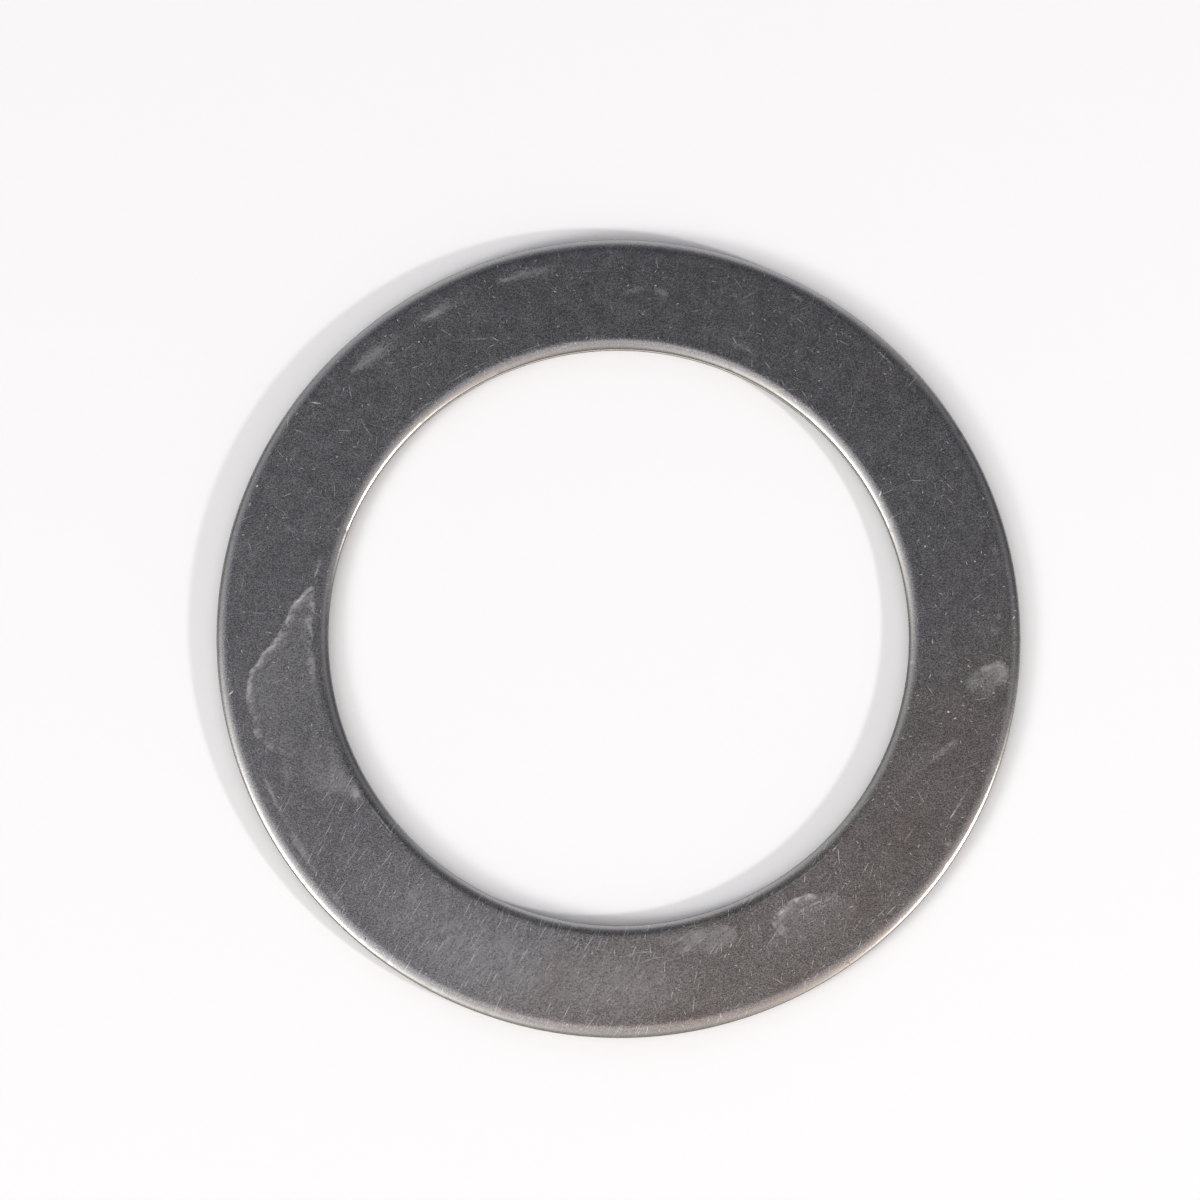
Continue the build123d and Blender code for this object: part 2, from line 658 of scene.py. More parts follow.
def closed_ripple(turn: np.ndarray, fewest: int, most: int, fade: float,
                  random: np.random.Generator) -> np.ndarray:
    """Smooth noise round the ring that meets itself after a full turn.

    It is a sum of cosines, each with a whole number of waves to the turn, a weight of that number
    to the power of minus fade, and a random phase, divided by its own largest value.

    Args:
        turn: Angles in radians.
        fewest: The smallest number of waves to the turn.
        most: The largest number of waves to the turn.
        fade: How fast finer waves get weaker.
        random: The seeded source of the phases.

    Returns:
        Values from -1 to 1, one for each angle.
    """
    waves = np.arange(fewest, most + 1)[:, None]
    phases = random.uniform(0, FULL_TURN, waves.shape)
    total = (waves ** -fade * np.cos(waves * turn[None, :] + phases)).sum(axis=0)
    return total / np.abs(total).max()


@dataclass
class StampedRing:
    """The washer's one piece of steel, as the press and the tumbling barrel leave it.

    All sizes are in mm. The rim, bore, thickness and land are the frame's own.

    Attributes:
        rim: Outside radius on the sheared land.
        bore: Bore radius on the sheared land.
        thickness: Sheet thickness.
        land_top: Height at which the shoulders end and the lands begin.
        land_foot: Mean height at which the lands end and the torn metal begins.
        shoulder_width: How far in from the cut the sheet starts to dip.
        tear_taper: How much the torn metal falls back from the cut at its foot.
        foot_break: Size of the rounded lower corner.
        land_wander: How far the ragged line under the land strays up or down.
        shoulder_wander: How much the shoulder's width varies, as a share.
        tear_depth: Depth of the grooves in the torn metal.
        knock_depth: Depth of the deepest knock on the shoulders.
        knock_count: Number of knocks.
        bore_clear: Least distance of a random scratch's middle from the bore.
        rim_clear: Least distance of a random scratch's middle from the rim.
        columns: Steps round the ring.
        seed: Seed of everything random in the shape and the wear.
    """

    rim: float
    bore: float
    thickness: float
    land_top: float
    land_foot: float
    shoulder_width: float = 1.3
    tear_taper: float = 0.06
    foot_break: float = 0.15
    land_wander: float = 0.13
    shoulder_wander: float = 0.07
    tear_depth: float = 0.035
    knock_depth: float = 0.035
    knock_count: int = 46
    bore_clear: float = 0.6
    rim_clear: float = 0.5
    columns: int = 1120
    seed: int = 7
    turn: np.ndarray = field(init=False, repr=False)
    random: np.random.Generator = field(init=False, repr=False)

    def __post_init__(self) -> None:
        """Lays out the angles of the columns and seeds the random source."""
        self.turn = np.linspace(0, FULL_TURN, self.columns, endpoint=False)
        self.random = np.random.default_rng(self.seed)

    @classmethod
    def from_frame(cls, record: Mapping[str, object]) -> "StampedRing":
        """Reads the ring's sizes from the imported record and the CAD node's box.

        Args:
            record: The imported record, whose round mounts are the sheared lands.

        Returns:
            A ring with the frame's sizes.
        """
        mounts = {mount["name"]: mount for mount in record["mounts"]}
        land_length = mounts["bore"]["dims"]["length_mm"]
        land_middle = mounts["bore"]["pos_m"][2] * PER_M
        return cls(
            rim=mounts["rim"]["dims"]["r_mm"],
            bore=mounts["bore"]["dims"]["r_mm"],
            thickness=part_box(CAD_NODE)[1].z * PER_M,
            land_top=land_middle + land_length / 2,
            land_foot=land_middle - land_length / 2,
        )

    def face(self, share: np.ndarray, start: np.ndarray, stop: np.ndarray,
             height: float) -> Stretch:
        """A flat face of the sheet, in even steps of radius from one edge to the other.

        Args:
            share: Share of the way across, one value for each row.
            start: Radius of the near edge, one value for each column.
            stop: Radius of the far edge, one value for each column.
            height: Height of the face.

        Returns:
            The face's stretch.
        """
        radius = start + (stop - start) * share
        return Stretch(radius, np.full_like(radius, height), Zone.TUMBLED, np.zeros_like(radius))

    def shoulder(self, share: np.ndarray, wall: float, inward: int, width: np.ndarray) -> Stretch:
        """A drawn shoulder, a quarter of an ellipse from the upper face down to the land.

        With a going from 0 to a quarter turn, the radius is the wall's, moved into the metal by
        the width times (1 - sin a), and the height is the land's top plus the depth times cos a.

        Args:
            share: Share of the way down, one value for each row.
            wall: Radius of the cut.
            inward: -1 where the metal lies towards the axis, 1 where it lies away from it.
            width: Width of the shoulder, one value for each column.

        Returns:
            The shoulder's stretch.
        """
        angle = QUARTER_TURN * share
        radius = wall + inward * width * (1 - np.sin(angle))
        height = self.land_top + (self.thickness - self.land_top) * np.cos(angle)
        level = np.zeros_like(radius)
        return Stretch(radius, height + level, Zone.TUMBLED, share + level)

    def land(self, share: np.ndarray, wall: float, foot: np.ndarray) -> Stretch:
        """The smooth upright band that the die sheared, down to the ragged line where it tore.

        Args:
            share: Share of the way down, one value for each row.
            wall: Radius of the cut.
            foot: Height of the ragged line, one value for each column.

        Returns:
            The land's stretch.
        """
        height = self.land_top + (foot - self.land_top) * share
        return Stretch(np.full_like(height, wall), height, Zone.LAND, np.ones_like(height))

    def tear(self, share: np.ndarray, wall: float, inward: int, foot: np.ndarray) -> Stretch:
        """The torn metal, which falls back from the cut and is grooved from top to bottom.

        The radius leaves the wall by the taper times the share of the way down, and by a groove
        depth that rises from nothing at both ends of the stretch as the sine of half a turn.
        Coarse grooves run straight down. Finer ones shift sideways on the way, so they look torn.

        Args:
            share: Share of the way down, one value for each row.
            wall: Radius of the cut.
            inward: -1 where the metal lies towards the axis, 1 where it lies away from it.
            foot: Height of the ragged line above it, one value for each column.

        Returns:
            The torn stretch.
        """
        coarse = closed_ripple(self.turn, 40, 160, 0.3, self.random)
        fine = closed_ripple(self.turn, 160, 330, 0.2, self.random)
        lean = closed_ripple(self.turn, 4, 30, 0.6, self.random)
        slide = np.rint(share * 5 + 2 * lean[None, :]).astype(int)
        shifted = fine[(np.arange(self.columns)[None, :] + slide) % self.columns]
        groove = 0.5 + 0.28 * coarse[None, :] + 0.22 * shifted
        fall = self.tear_taper * share + self.tear_depth * np.sin(math.pi * share) * groove
        height = foot + (self.foot_break - foot) * share
        return Stretch(wall + inward * fall, height, Zone.TORN, np.ones_like(height))

    def corner(self, share: np.ndarray, wall: float, inward: int) -> Stretch:
        """The lower corner, rounded to a quarter circle when the barrel took off the burr.

        Args:
            share: Share of the way round to the resting face, one value for each row.
            wall: Radius of the cut.
            inward: -1 where the metal lies towards the axis, 1 where it lies away from it.

        Returns:
            The corner's stretch.
        """
        angle = QUARTER_TURN * share
        size = self.foot_break * (1 + 0.25 * closed_ripple(self.turn, 5, 90, 0.7, self.random))
        radius = wall + inward * (self.tear_taper + size * (1 - np.cos(angle)))
        height = self.foot_break * (1 - np.sin(angle)) + np.zeros_like(radius)
        return Stretch(radius, height, Zone.TORN, np.ones_like(radius))

    def section(self) -> dict[Part, Stretch]:
        """The whole closed section, along the upper face, down the rim, back and up the bore.

        Each stretch is given its number of rows. The shoulders' widths wander in 2 to 40 waves to
        the turn, and the ragged lines under the lands in 6 to 160.

        Returns:
            The stretches in order.
        """
        rim_width, bore_width = (
            self.shoulder_width * (1 + self.shoulder_wander * closed_ripple(
                self.turn, 2, 40, 1.1, self.random)) for _ in range(2))
        rim_foot, bore_foot = (
            self.land_foot + self.land_wander * closed_ripple(
                self.turn, 6, 160, 0.6, self.random) for _ in range(2))
        inset = self.tear_taper + self.foot_break
        return {
            Part.TOP: self.face(down(28), self.bore + bore_width, self.rim - rim_width,
                                self.thickness),
            Part.RIM_SHOULDER: self.shoulder(down(12), self.rim, -1, rim_width),
            Part.RIM_LAND: self.land(down(3), self.rim, rim_foot),
            Part.RIM_TEAR: self.tear(down(8), self.rim, -1, rim_foot),
            Part.RIM_CORNER: self.corner(down(3), self.rim, -1),
            Part.UNDER: self.face(down(8), np.full(self.columns, self.rim - inset),
                                  np.full(self.columns, self.bore + inset), 0.0),
            Part.BORE_CORNER: self.corner(up(3), self.bore, 1),
            Part.BORE_TEAR: self.tear(up(8), self.bore, 1, bore_foot),
            Part.BORE_LAND: self.land(up(3), self.bore, bore_foot),
            Part.BORE_SHOULDER: self.shoulder(up(12), self.bore, 1, bore_width),
        }

    def knocks(self, places: np.ndarray) -> np.ndarray:
        """How far each point was pushed in by knocks in the barrel.

        Each knock is a bell curve, 0.15 to 0.5 mm wide, of the straight distance from its middle.
        Middles are spread at random over both shoulders, 0.05 to 0.6 mm in from the cut and 0.1 to
        0.4 mm below the upper face, and six out of ten are at the rim.

        Args:
            places: Places of the points in mm.

        Returns:
            Depths in mm, rows by columns.
        """
        depth = np.zeros(places.shape[:2])
        for _ in range(self.knock_count):
            bearing = self.random.uniform(0, FULL_TURN)
            inset = self.random.uniform(0.05, 0.6)
            reach = self.rim - inset if self.random.random() < 0.6 else self.bore + inset
            spread = self.random.uniform(0.15, 0.5)
            level = self.thickness - self.random.uniform(0.1, 0.4)
            middle = np.array([reach * math.cos(bearing), reach * math.sin(bearing), level])
            away = ((places - middle) ** 2).sum(axis=-1)
            depth += self.random.uniform(0.3, 1.0) * self.knock_depth * np.exp(-away / spread ** 2)
        return depth

    def build(self) -> Object:
        """Puts the section round the ring and makes the mesh of it.

        The surface is a torus grid: a point's place is its radius times the cosine and sine of its
        column's angle, and its height. Rows and columns both join up, so it has no seam or pole.

        Returns:
            The ring's object, at the origin, in metres.
        """
        section = self.section()
        radius = np.concatenate([s.radius for s in section.values()])
        height = np.concatenate([s.height for s in section.values()])
        zones = np.concatenate([np.full(len(s.radius), s.zone.value) for s in section.values()])
        flat = np.stack([radius * np.cos(self.turn), radius * np.sin(self.turn), height], axis=-1)
        # A knock pushes the surface 0.6 of its depth into the metal and 0.8 of its depth down.
        depth = self.knocks(flat)
        inwards = np.sign((self.rim + self.bore) / 2 - radius)
        radius = radius + inwards * 0.6 * depth
        height = np.maximum(height - 0.8 * depth, 0)
        points = np.stack([radius * np.cos(self.turn), radius * np.sin(self.turn), height], axis=-1)
        mesh = closed_grid_mesh("stamped_ring", points * MM, zones)
        rub = np.concatenate([s.rub for s in section.values()])
        write_attribute(mesh, "rub", "FLOAT", "POINT", rub)
        self.wear(mesh, section, flat[..., :2])
        ring = bpy.data.objects.new(mesh.name, mesh)
        bpy.context.scene.collection.objects.link(ring)
        return ring

    def wear(self, mesh: Mesh, section: Mapping[Part, Stretch], spots: np.ndarray) -> None:
        """Writes the marks on the upper side, and random scratches on both, into the mesh.

        Args:
            mesh: The ring's mesh.
            section: The stretches of the section.
            spots: The grid's places in mm, rows by columns by X and Y.
        """
        stops = np.cumsum([len(s.radius) for s in section.values()])
        rows = dict(zip(section, np.split(np.arange(len(spots)), stops[:-1])))
        upper = np.concatenate([rows[Part.BORE_SHOULDER], rows[Part.TOP], rows[Part.RIM_SHOULDER]])
        tumbling = WearMap(spots)
        inner, outer = self.bore + self.bore_clear, self.rim - self.rim_clear
        light, dragged, crossed, specks, hidden = (
            barrel.marks(inner, outer, self.random)
            for barrel in (LIGHT, DRAGGED, CROSSED, SPECKS, HIDDEN))
        # Where two cross, the later one shows.
        plain = MARKS[Trace.SCRATCH]
        scratches = tumbling.strokes(light + crossed + specks + dragged + plain, upper)
        below = tumbling.strokes(hidden, rows[Part.UNDER])
        scratches[rows[Part.UNDER]] = below[rows[Part.UNDER]]
        write_attribute(mesh, Trace.SCRATCH.value, "FLOAT_VECTOR", "CORNER", scratches)
        for trace in (Trace.STREAK, Trace.PIT, Trace.RUST):
            strokes = tumbling.strokes(MARKS[trace], upper)
            write_attribute(mesh, trace.value, "FLOAT_VECTOR", "CORNER", strokes)
        for trace in (Trace.FILM, Trace.TINT):
            cover = tumbling.cover(MARKS[trace], upper)
            write_attribute(mesh, trace.value, "FLOAT", "POINT", cover)
        write_attribute(mesh, "puddle", "FLOAT_VECTOR", "POINT", tumbling.puddles(PUDDLES, upper))

    def dress(self, ring: Object, finishes: Mapping[Zone, Material]) -> None:
        """Gives each zone of the ring its finish.

        Args:
            ring: The ring's object.
            finishes: A material for each zone.
        """
        for zone in Zone:
            ring.data.materials.append(finishes[zone])


def write_attribute(mesh: Mesh, name: str, kind: str, domain: str, values: np.ndarray) -> None:
    """Stores a whole array as an attribute of the mesh.

    Args:
        mesh: The mesh.
        name: The attribute's name.
        kind: Its data type, FLOAT or FLOAT_VECTOR.
        domain: POINT or CORNER.
        values: One value or vector for each point or corner, in the mesh's order.
    """
    made = mesh.attributes.new(name, kind, domain)
    channel = "value" if kind == "FLOAT" else "vector"
    made.data.foreach_set(channel, values.astype(np.float32).ravel())


def closed_grid_mesh(name: str, points: np.ndarray, zones: np.ndarray) -> Mesh:
    """Makes a mesh of a grid of points whose rows and columns both join up.

    Args:
        name: The mesh's name.
        points: Rows by columns by 3, in metres.
        zones: The material index of the faces that start on each row.

    Returns:
        The mesh, shaded smooth, with its faces pointing out of the section.
    """
    rows, columns = points.shape[:2]
    index = np.arange(rows * columns).reshape(rows, columns)
    below = np.roll(index, -1, axis=0)
    quads = np.stack([index, below, np.roll(below, -1, axis=1), np.roll(index, -1, axis=1)],
                     axis=-1)
    mesh = bpy.data.meshes.new(name)
    mesh.vertices.add(rows * columns)
    mesh.vertices.foreach_set("co", points.astype(np.float32).ravel())
    mesh.loops.add(quads.size)
    mesh.loops.foreach_set("vertex_index", quads.ravel())
    mesh.polygons.add(rows * columns)
    mesh.polygons.foreach_set("loop_start", np.arange(0, quads.size, 4))
    mesh.polygons.foreach_set("material_index", np.repeat(zones, columns))
    mesh.update(calc_edges=True)
    mesh.shade_smooth()
    return mesh


# ---------------------------------------------------------------------------------------------
# Finishes
# ---------------------------------------------------------------------------------------------


@dataclass
class FinishBench:
    """A material being made, with the few sums that every finish here uses.

    Attributes:
        material: The material.
        tree: Its node tree.
        place: The place on the piece, in mm.
        shader: Its Principled shader.
    """

    material: Material
    tree: NodeTree
    place: NodeSocket
    shader: Node

    @classmethod
    def start(cls, name: str) -> "FinishBench":
        """Starts a material whose pattern is placed by Object coordinates, in mm.

        Args:
            name: The material's name.

        Returns:
            The bench.
        """
        material = bpy.data.materials.new(name)
        material.use_nodes = True
        tree = material.node_tree
        tree.nodes.clear()
        spot = add_node(tree, "TexCoord").outputs["Object"]
        place = add_node(tree, "VectorMath", {"operation": "SCALE"}, {0: spot, "Scale": PER_M})
        shader = add_node(tree, "BsdfPrincipled")
        add_node(tree, "OutputMaterial", None, {"Surface": shader.outputs["BSDF"]})
        return cls(material, tree, place.outputs["Vector"], shader)

    def grain(self, size: tuple[float, float, float], detail: float = 2.0, turned: float = 0.0,
              contrast: float = 3.0, middle: float = 0.5) -> NodeSocket:
        """Cloudy noise whose features have the given size, spread to about 0 to 1.

        Args:
            size: Feature size along X, Y and Z, in mm.
            detail: How many finer layers are added.
            turned: Degrees by which its X axis is turned from the piece's.
            contrast: How strongly the noise is spread about its middle.
            middle: The raw noise value that becomes a half.

        Returns:
            The noise, clamped to 0 and 1.
        """
        scaled = add_node(self.tree, "Mapping", {"vector_type": "TEXTURE"}, {
            "Vector": self.place, "Rotation": (0, 0, math.radians(turned)), "Scale": size})
        noise = add_node(self.tree, "TexNoise", None, {
            "Vector": scaled.outputs["Vector"], "Scale": 1.0, "Detail": detail, "Roughness": 0.6})
        half = 0.5 / contrast
        return add_node(self.tree, "MapRange", None, {
            "Value": noise.outputs["Fac"], "From Min": middle - half, "From Max": middle + half,
            "To Min": 0.0, "To Max": 1.0}).outputs["Result"]

    def sum(self, start: float, *terms: tuple[NodeSocket, float]) -> NodeSocket:
        """Adds weighted fields to a start value, each as field times weight plus what is there.

        Args:
            start: The start value.
            terms: Fields, each with its weight.

        Returns:
            The sum.
        """
        total: NodeSocket | float = start
        for value, weight in terms:
            total = add_node(self.tree, "Math", {"operation": "MULTIPLY_ADD"}, {
                0: value, 1: weight, 2: total}).outputs[0]
        return total

    def product(self, first: NodeSocket, second: NodeSocket | float) -> NodeSocket:
        """Multiplies two fields."""
        made = add_node(self.tree, "Math", {"operation": "MULTIPLY"}, {0: first, 1: second})
        return made.outputs[0]

    def blend(self, share: NodeSocket | float, first: object, second: object,
              way: str = "MIX") -> NodeSocket:
        """Blends from the first colour to the second as the share goes from 0 to 1.

        Args:
            share: The share of the second.
            first: The colour at a share of 0.
            second: The colour at a share of 1, or what multiplies the first.
            way: How they are blended, MIX or MULTIPLY.

        Returns:
            The blended colour.
        """
        # A Mix node's sockets 0, 6 and 7 are its share and its two colours.
        return add_node(self.tree, "Mix", {"data_type": "RGBA", "blend_type": way}, {
            0: share, 6: first, 7: second}).outputs[2]

    def ramp(self, value: NodeSocket, start: float, stop: float, most: float) -> NodeSocket:
        """Rises smoothly from 0 to the most as the value goes from start to stop."""
        return add_node(self.tree, "MapRange", {"interpolation_type": "SMOOTHSTEP"}, {
            "Value": value, "From Min": start, "From Max": stop, "To Min": 0.0, "To Max": most,
        }).outputs["Result"]

    def carried(self, name: str, output: str = "Fac") -> NodeSocket:
        """Reads one of the mesh's own attributes."""
        return add_node(self.tree, "Attribute", {"attribute_name": name}).outputs[output]

    def stroke(self, trace: Trace, wobble: float) -> NodeSocket:
        """Draws fine marks from the places that the face corners carry.

        Noise pushes the place along and across the mark by up to half the wobble. The mark fades
        from its strength to nothing as the two places together go from 0.2 to 1 half-size.

        Args:
            trace: The marks to draw.
            wobble: How ragged they are, in half-sizes.

        Returns:
            How plainly a mark shows, from 0 to 1.
        """
        carried = self.carried(trace.value, "Vector")
        noise = add_node(self.tree, "TexNoise", None, {
            "Vector": self.place, "Scale": 1 / 0.25, "Detail": 1.0})
        centred = add_node(self.tree, "VectorMath", {"operation": "SUBTRACT"}, {
            0: noise.outputs["Color"], 1: (0.5, 0.5, 0.5)})
        pushed = add_node(self.tree, "VectorMath", {"operation": "MULTIPLY_ADD"}, {
            0: centred.outputs["Vector"], 1: (wobble, wobble, 0), 2: carried})
        level = add_node(self.tree, "VectorMath", {"operation": "MULTIPLY"}, {
            0: pushed.outputs["Vector"], 1: (1, 1, 0)})
        away = add_node(self.tree, "VectorMath", {"operation": "LENGTH"}, {
            0: level.outputs["Vector"]})
        strength = add_node(self.tree, "SeparateXYZ", None, {0: carried}).outputs[2]
        return self.product(self.ramp(away.outputs["Value"], 1.0, 0.2, 1.0), strength)

    def relief(self, height: NodeSocket, depth: float) -> None:
        """Gives the shader a bump whose height of 1 stands for the depth in mm."""
        bump = add_node(self.tree, "Bump", None, {"Height": height, "Distance": depth * MM})
        self.tree.links.new(bump.outputs["Normal"], self.shader.inputs["Normal"])

    def connect(self, **sockets: NodeSocket | float | tuple[float, ...]) -> None:
        """Links or fills the shader's sockets, named with underscores for spaces."""
        for name, value in sockets.items():
            socket = self.shader.inputs[name.replace("_", " ")]
            if isinstance(value, NodeSocket):
                self.tree.links.new(value, socket)
            else:
                socket.default_value = value

    def finish(self, surface: NodeSocket) -> None:
        """Makes a surface the material's own, in place of the bare shader."""
        self.tree.links.new(surface, self.tree.get_output_node("ALL").inputs["Surface"])


@dataclass(frozen=True)
class TumbledSteel:
    """Cold-rolled steel, tumbled in a barrel: a dark satin grey with a fine salt-and-pepper grain.

    The barrel's chips leave tiny dimples all over, which spread highlights wide. It rubs the
    shoulders brightest. Handling and damp storage leave scratches, dried films and faint tints.

    Attributes:
        dark: Colour in the dimples.
        light: Colour on the crowns between them.
        cool: Faint violet cast of the thin oxide over most of the ring, multiplied in.
        warm: Faint brown cast of the oxide in the south-east, multiplied in.
        rubbed: Colour of the shoulders, where the steel was rubbed cleanest.
        dried: Colour of dried film.
        bright: Colour of fresh steel in a scratch.
        oxide: Colour of thin brown oxide.
        orange: Colour of loose rust.
        grime_and_dark_reflection: Colour of dirt in pits, and of the painted dark reflection at each
            shoulder's foot.
        browning: Direction across the ring in which the oxide's cast turns brown.
        browns_from: How far along it from the axis the turn starts, in mm.
        browns_to: How far along it the turn is complete, in mm.
        roughness: Roughness of clean steel on the faces.
        relief: Depth of the dimples as the light sees them, in mm.
    """

    dark: str = "#767677"
    light: str = "#BABABA"
    cool: str = "#F0F1FA"
    warm: str = "#FFF7F6"
    rubbed: str = "#C4C0B9"
    dried: str = "#D6D6D9"
    bright: str = "#EFECE6"
    oxide: str = "#7C6762"
    orange: str = "#9A5A1E"
    grime_and_dark_reflection: str = "#1B1918"
    browning: tuple[float, float, float] = (0.64, -0.77, 0.0)
    browns_from: float = 12.0
    browns_to: float = 37.0
    roughness: float = 0.23
    relief: float = 0.0022

    def build(self) -> Material:
        """Makes the material."""
        bench = FinishBench.start("steel_cold_rolled_tumbled")
        # Barrel dimples are about 0.1 mm across; drawn at 0.15 mm so that they show.
        speckle = bench.grain((0.15, 0.15, 0.15), 1.0, 0.0, 2.8)
        # Unevenness of the tumbled surface, a few millimetres across and wider.
        mottle = bench.grain((2.2, 2.2, 2.2), 3.0, 0.0, 2.8)
        cloud = bench.grain((9.0, 9.0, 9.0), 2.0, 0.0, 2.6)
        # The mill's rolling lines, along Y, 0.1 mm wide and a few millimetres long.
        rolling = bench.grain((0.18, 3.5, 3.0), 2.0, -3.0, 2.6, 0.54)
        rub = bench.carried("rub")
        scratch = bench.stroke(Trace.SCRATCH, 0.25)
        streak = bench.stroke(Trace.STREAK, 1.1)
        pit = bench.stroke(Trace.PIT, 0.8)
        rust = bench.stroke(Trace.RUST, 0.9)
        # Dried film was wiped about with a rag: strokes 0.4 mm wide and 2 mm long, up to the right.
        wiped = bench.grain((2.0, 0.40, 0.40), 3.0, 42.0, 2.4)
        uneven = bench.sum(0.20, (speckle, 0.35), (wiped, 1.05))
        film = bench.product(bench.sum(0.0, (bench.carried(Trace.FILM.value), 1.0),
                                       (self.dried_puddle(bench), 1.0), (streak, 0.7)), uneven)
        tint = bench.product(bench.carried(Trace.TINT.value), bench.sum(0.3, (mottle, 0.6)))
        tone = bench.sum(-0.04, (speckle, 0.74), (mottle, 0.05), (cloud, 0.05), (rolling, 0.10))
        colour = bench.blend(tone, linear(self.dark), linear(self.light))
        # Thin oxide from storage gives the grey a faint violet cast, and a faint brown one in the
        # south-east.
        along = add_node(bench.tree, "VectorMath", {"operation": "DOT_PRODUCT"}, {
            0: bench.place, 1: self.browning}).outputs["Value"]
        browned = bench.ramp(along, self.browns_from, self.browns_to, 1.0)
        cast = bench.blend(browned, linear(self.cool), linear(self.warm))
        colour = bench.blend(1.0, colour, cast, "MULTIPLY")
        rubbed = bench.ramp(rub, 0.05, 0.75, 0.75)
        colour = bench.blend(rubbed, colour, linear(self.rubbed))
        # Painted dark reflection: a thin dark line along the foot of each shoulder, where the steep
        # edge mirrors darker things.
        colour = bench.blend(bench.ramp(rub, 0.72, 0.86, 0.75), colour, linear(self.grime_and_dark_reflection))
        colour = bench.blend(tint, colour, linear(self.oxide))
        colour = bench.blend(film, colour, linear(self.dried))
        colour = bench.blend(scratch, colour, linear(self.bright))
        colour = bench.blend(pit, colour, linear(self.grime_and_dark_reflection))
        colour = bench.blend(rust, colour, linear(self.orange))
        roughness = bench.sum(self.roughness, (mottle, 0.03), (speckle, 0.03), (film, 0.20),
                              (rub, 0.03), (scratch, -0.05), (pit, 0.3), (rust, 0.4))
        metallic = bench.sum(1.0, (rust, -0.9), (pit, -0.6), (film, -0.25), (scratch, -0.60))
        height = bench.sum(0.0, (speckle, 1.0), (rolling, 0.4), (scratch, -1.5), (pit, -3.0))
        bench.relief(height, self.relief)
        bench.connect(Base_Color=colour, Roughness=roughness, Metallic=metallic)
        return bench.material

    def dried_puddle(self, bench: FinishBench) -> NodeSocket:
        """How much the dried puddles show: haze inside, and a pale line just inside the edge.

        The depth inside the edge is pushed about by noise, so the edge wanders. The haze rises
        over the outer millimetre, and the line rises at the edge and is gone 1 mm further in. The
        line is multiplied by a second noise, so it comes and goes.

        Args:
            bench: The material being made.

        Returns:
            The share of film, from 0 to 1.
        """
        kept = add_node(bench.tree, "SeparateXYZ", None, {0: bench.carried("puddle", "Vector")})
        inside, haze_there, tide_there = kept.outputs
        wander = bench.grain((1.8, 1.8, 1.8), 3.0, 0.0, 2.0)
        depth = bench.sum(-0.2, (wander, 0.4), (inside, 1.0))
        haze = bench.product(bench.ramp(depth, -0.1, 0.9, 1.0), haze_there)
        line = bench.product(bench.ramp(depth, -0.15, 0.2, 1.0), bench.ramp(depth, 1.1, 0.15, 1.0))
        broken = bench.ramp(bench.grain((1.5, 1.5, 1.5), 2.0, 0.0, 2.2), 0.15, 0.7, 1.0)
        tide = bench.product(bench.product(line, tide_there), broken)
        return bench.sum(0.0, (haze, 1.0), (tide, 1.6))


@dataclass(frozen=True)
class BurnishedLand:
    """Steel wiped smooth by the side of the die: a bright, plain band with fine upright streaks.

    Attributes:
        dull: Colour between the streaks.
        bright: Colour of the streaks.
        roughness: Roughness of the band.
        relief: Depth of the streaks in mm.
    """

    dull: str = "#A19B92"
    bright: str = "#E2DCD2"
    roughness: float = 0.18
    relief: float = 0.004

    def build(self) -> Material:
        """Makes the material."""
        bench = FinishBench.start("steel_sheared_burnished")
        # Die marks are 0.02 to 0.1 mm wide; drawn at 0.15 mm, and as tall as the band.
        streak = bench.grain((0.15, 0.15, 3.0), 2.0, 0.0, 2.4)
        patch = bench.grain((1.6, 1.6, 0.6), 2.0, 0.0, 2.4)
        tone = bench.sum(0.0, (streak, 0.6), (patch, 0.4))
        colour = bench.blend(tone, linear(self.dull), linear(self.bright))
        bench.relief(streak, self.relief)
        bench.connect(Base_Color=colour, Metallic=1.0,
                      Roughness=bench.sum(self.roughness, (streak, 0.10), (patch, 0.06)))
        return bench.material


@dataclass(frozen=True)
class TornSteel:
    """Steel that tore ahead of the die: matt, grainy and darker, with upright grooves and grime.

    Attributes:
        deep: Colour in the grooves, where oil and dust stay.
        crest: Colour on the ridges.
        stain: Colour of the first rust in the grooves.
        roughness: Roughness of the ridges.
        relief: Depth of the grains and grooves in mm.
    """

    deep: str = "#2B2928"
    crest: str = "#605E5C"
    stain: str = "#4A382B"
    roughness: float = 0.5
    relief: float = 0.012

    def build(self) -> Material:
        """Makes the material."""
        bench = FinishBench.start("steel_torn_edge")
        # Grains of the tear are 0.02 to 0.05 mm; drawn at 0.12 mm so that they show.
        crumb = bench.grain((0.12, 0.12, 0.16), 3.0, 0.0, 2.2)
        groove = bench.grain((0.28, 0.28, 2.2), 2.0, 0.0, 2.4)
        patch = bench.grain((3.0, 3.0, 3.0), 2.0, 0.0, 3.0, 0.56)
        tone = bench.sum(-0.05, (crumb, 0.5), (groove, 0.55))
        colour = bench.blend(tone, linear(self.deep), linear(self.crest))
        stained = bench.product(patch, 0.35)
        colour = bench.blend(stained, colour, linear(self.stain))
        bench.relief(bench.sum(0.0, (crumb, 0.6), (groove, 0.8)), self.relief)
        bench.connect(Base_Color=colour, Metallic=bench.sum(1.0, (stained, -0.6)),
                      Roughness=bench.sum(self.roughness, (crumb, 0.12), (stained, 0.3)))
        return bench.material


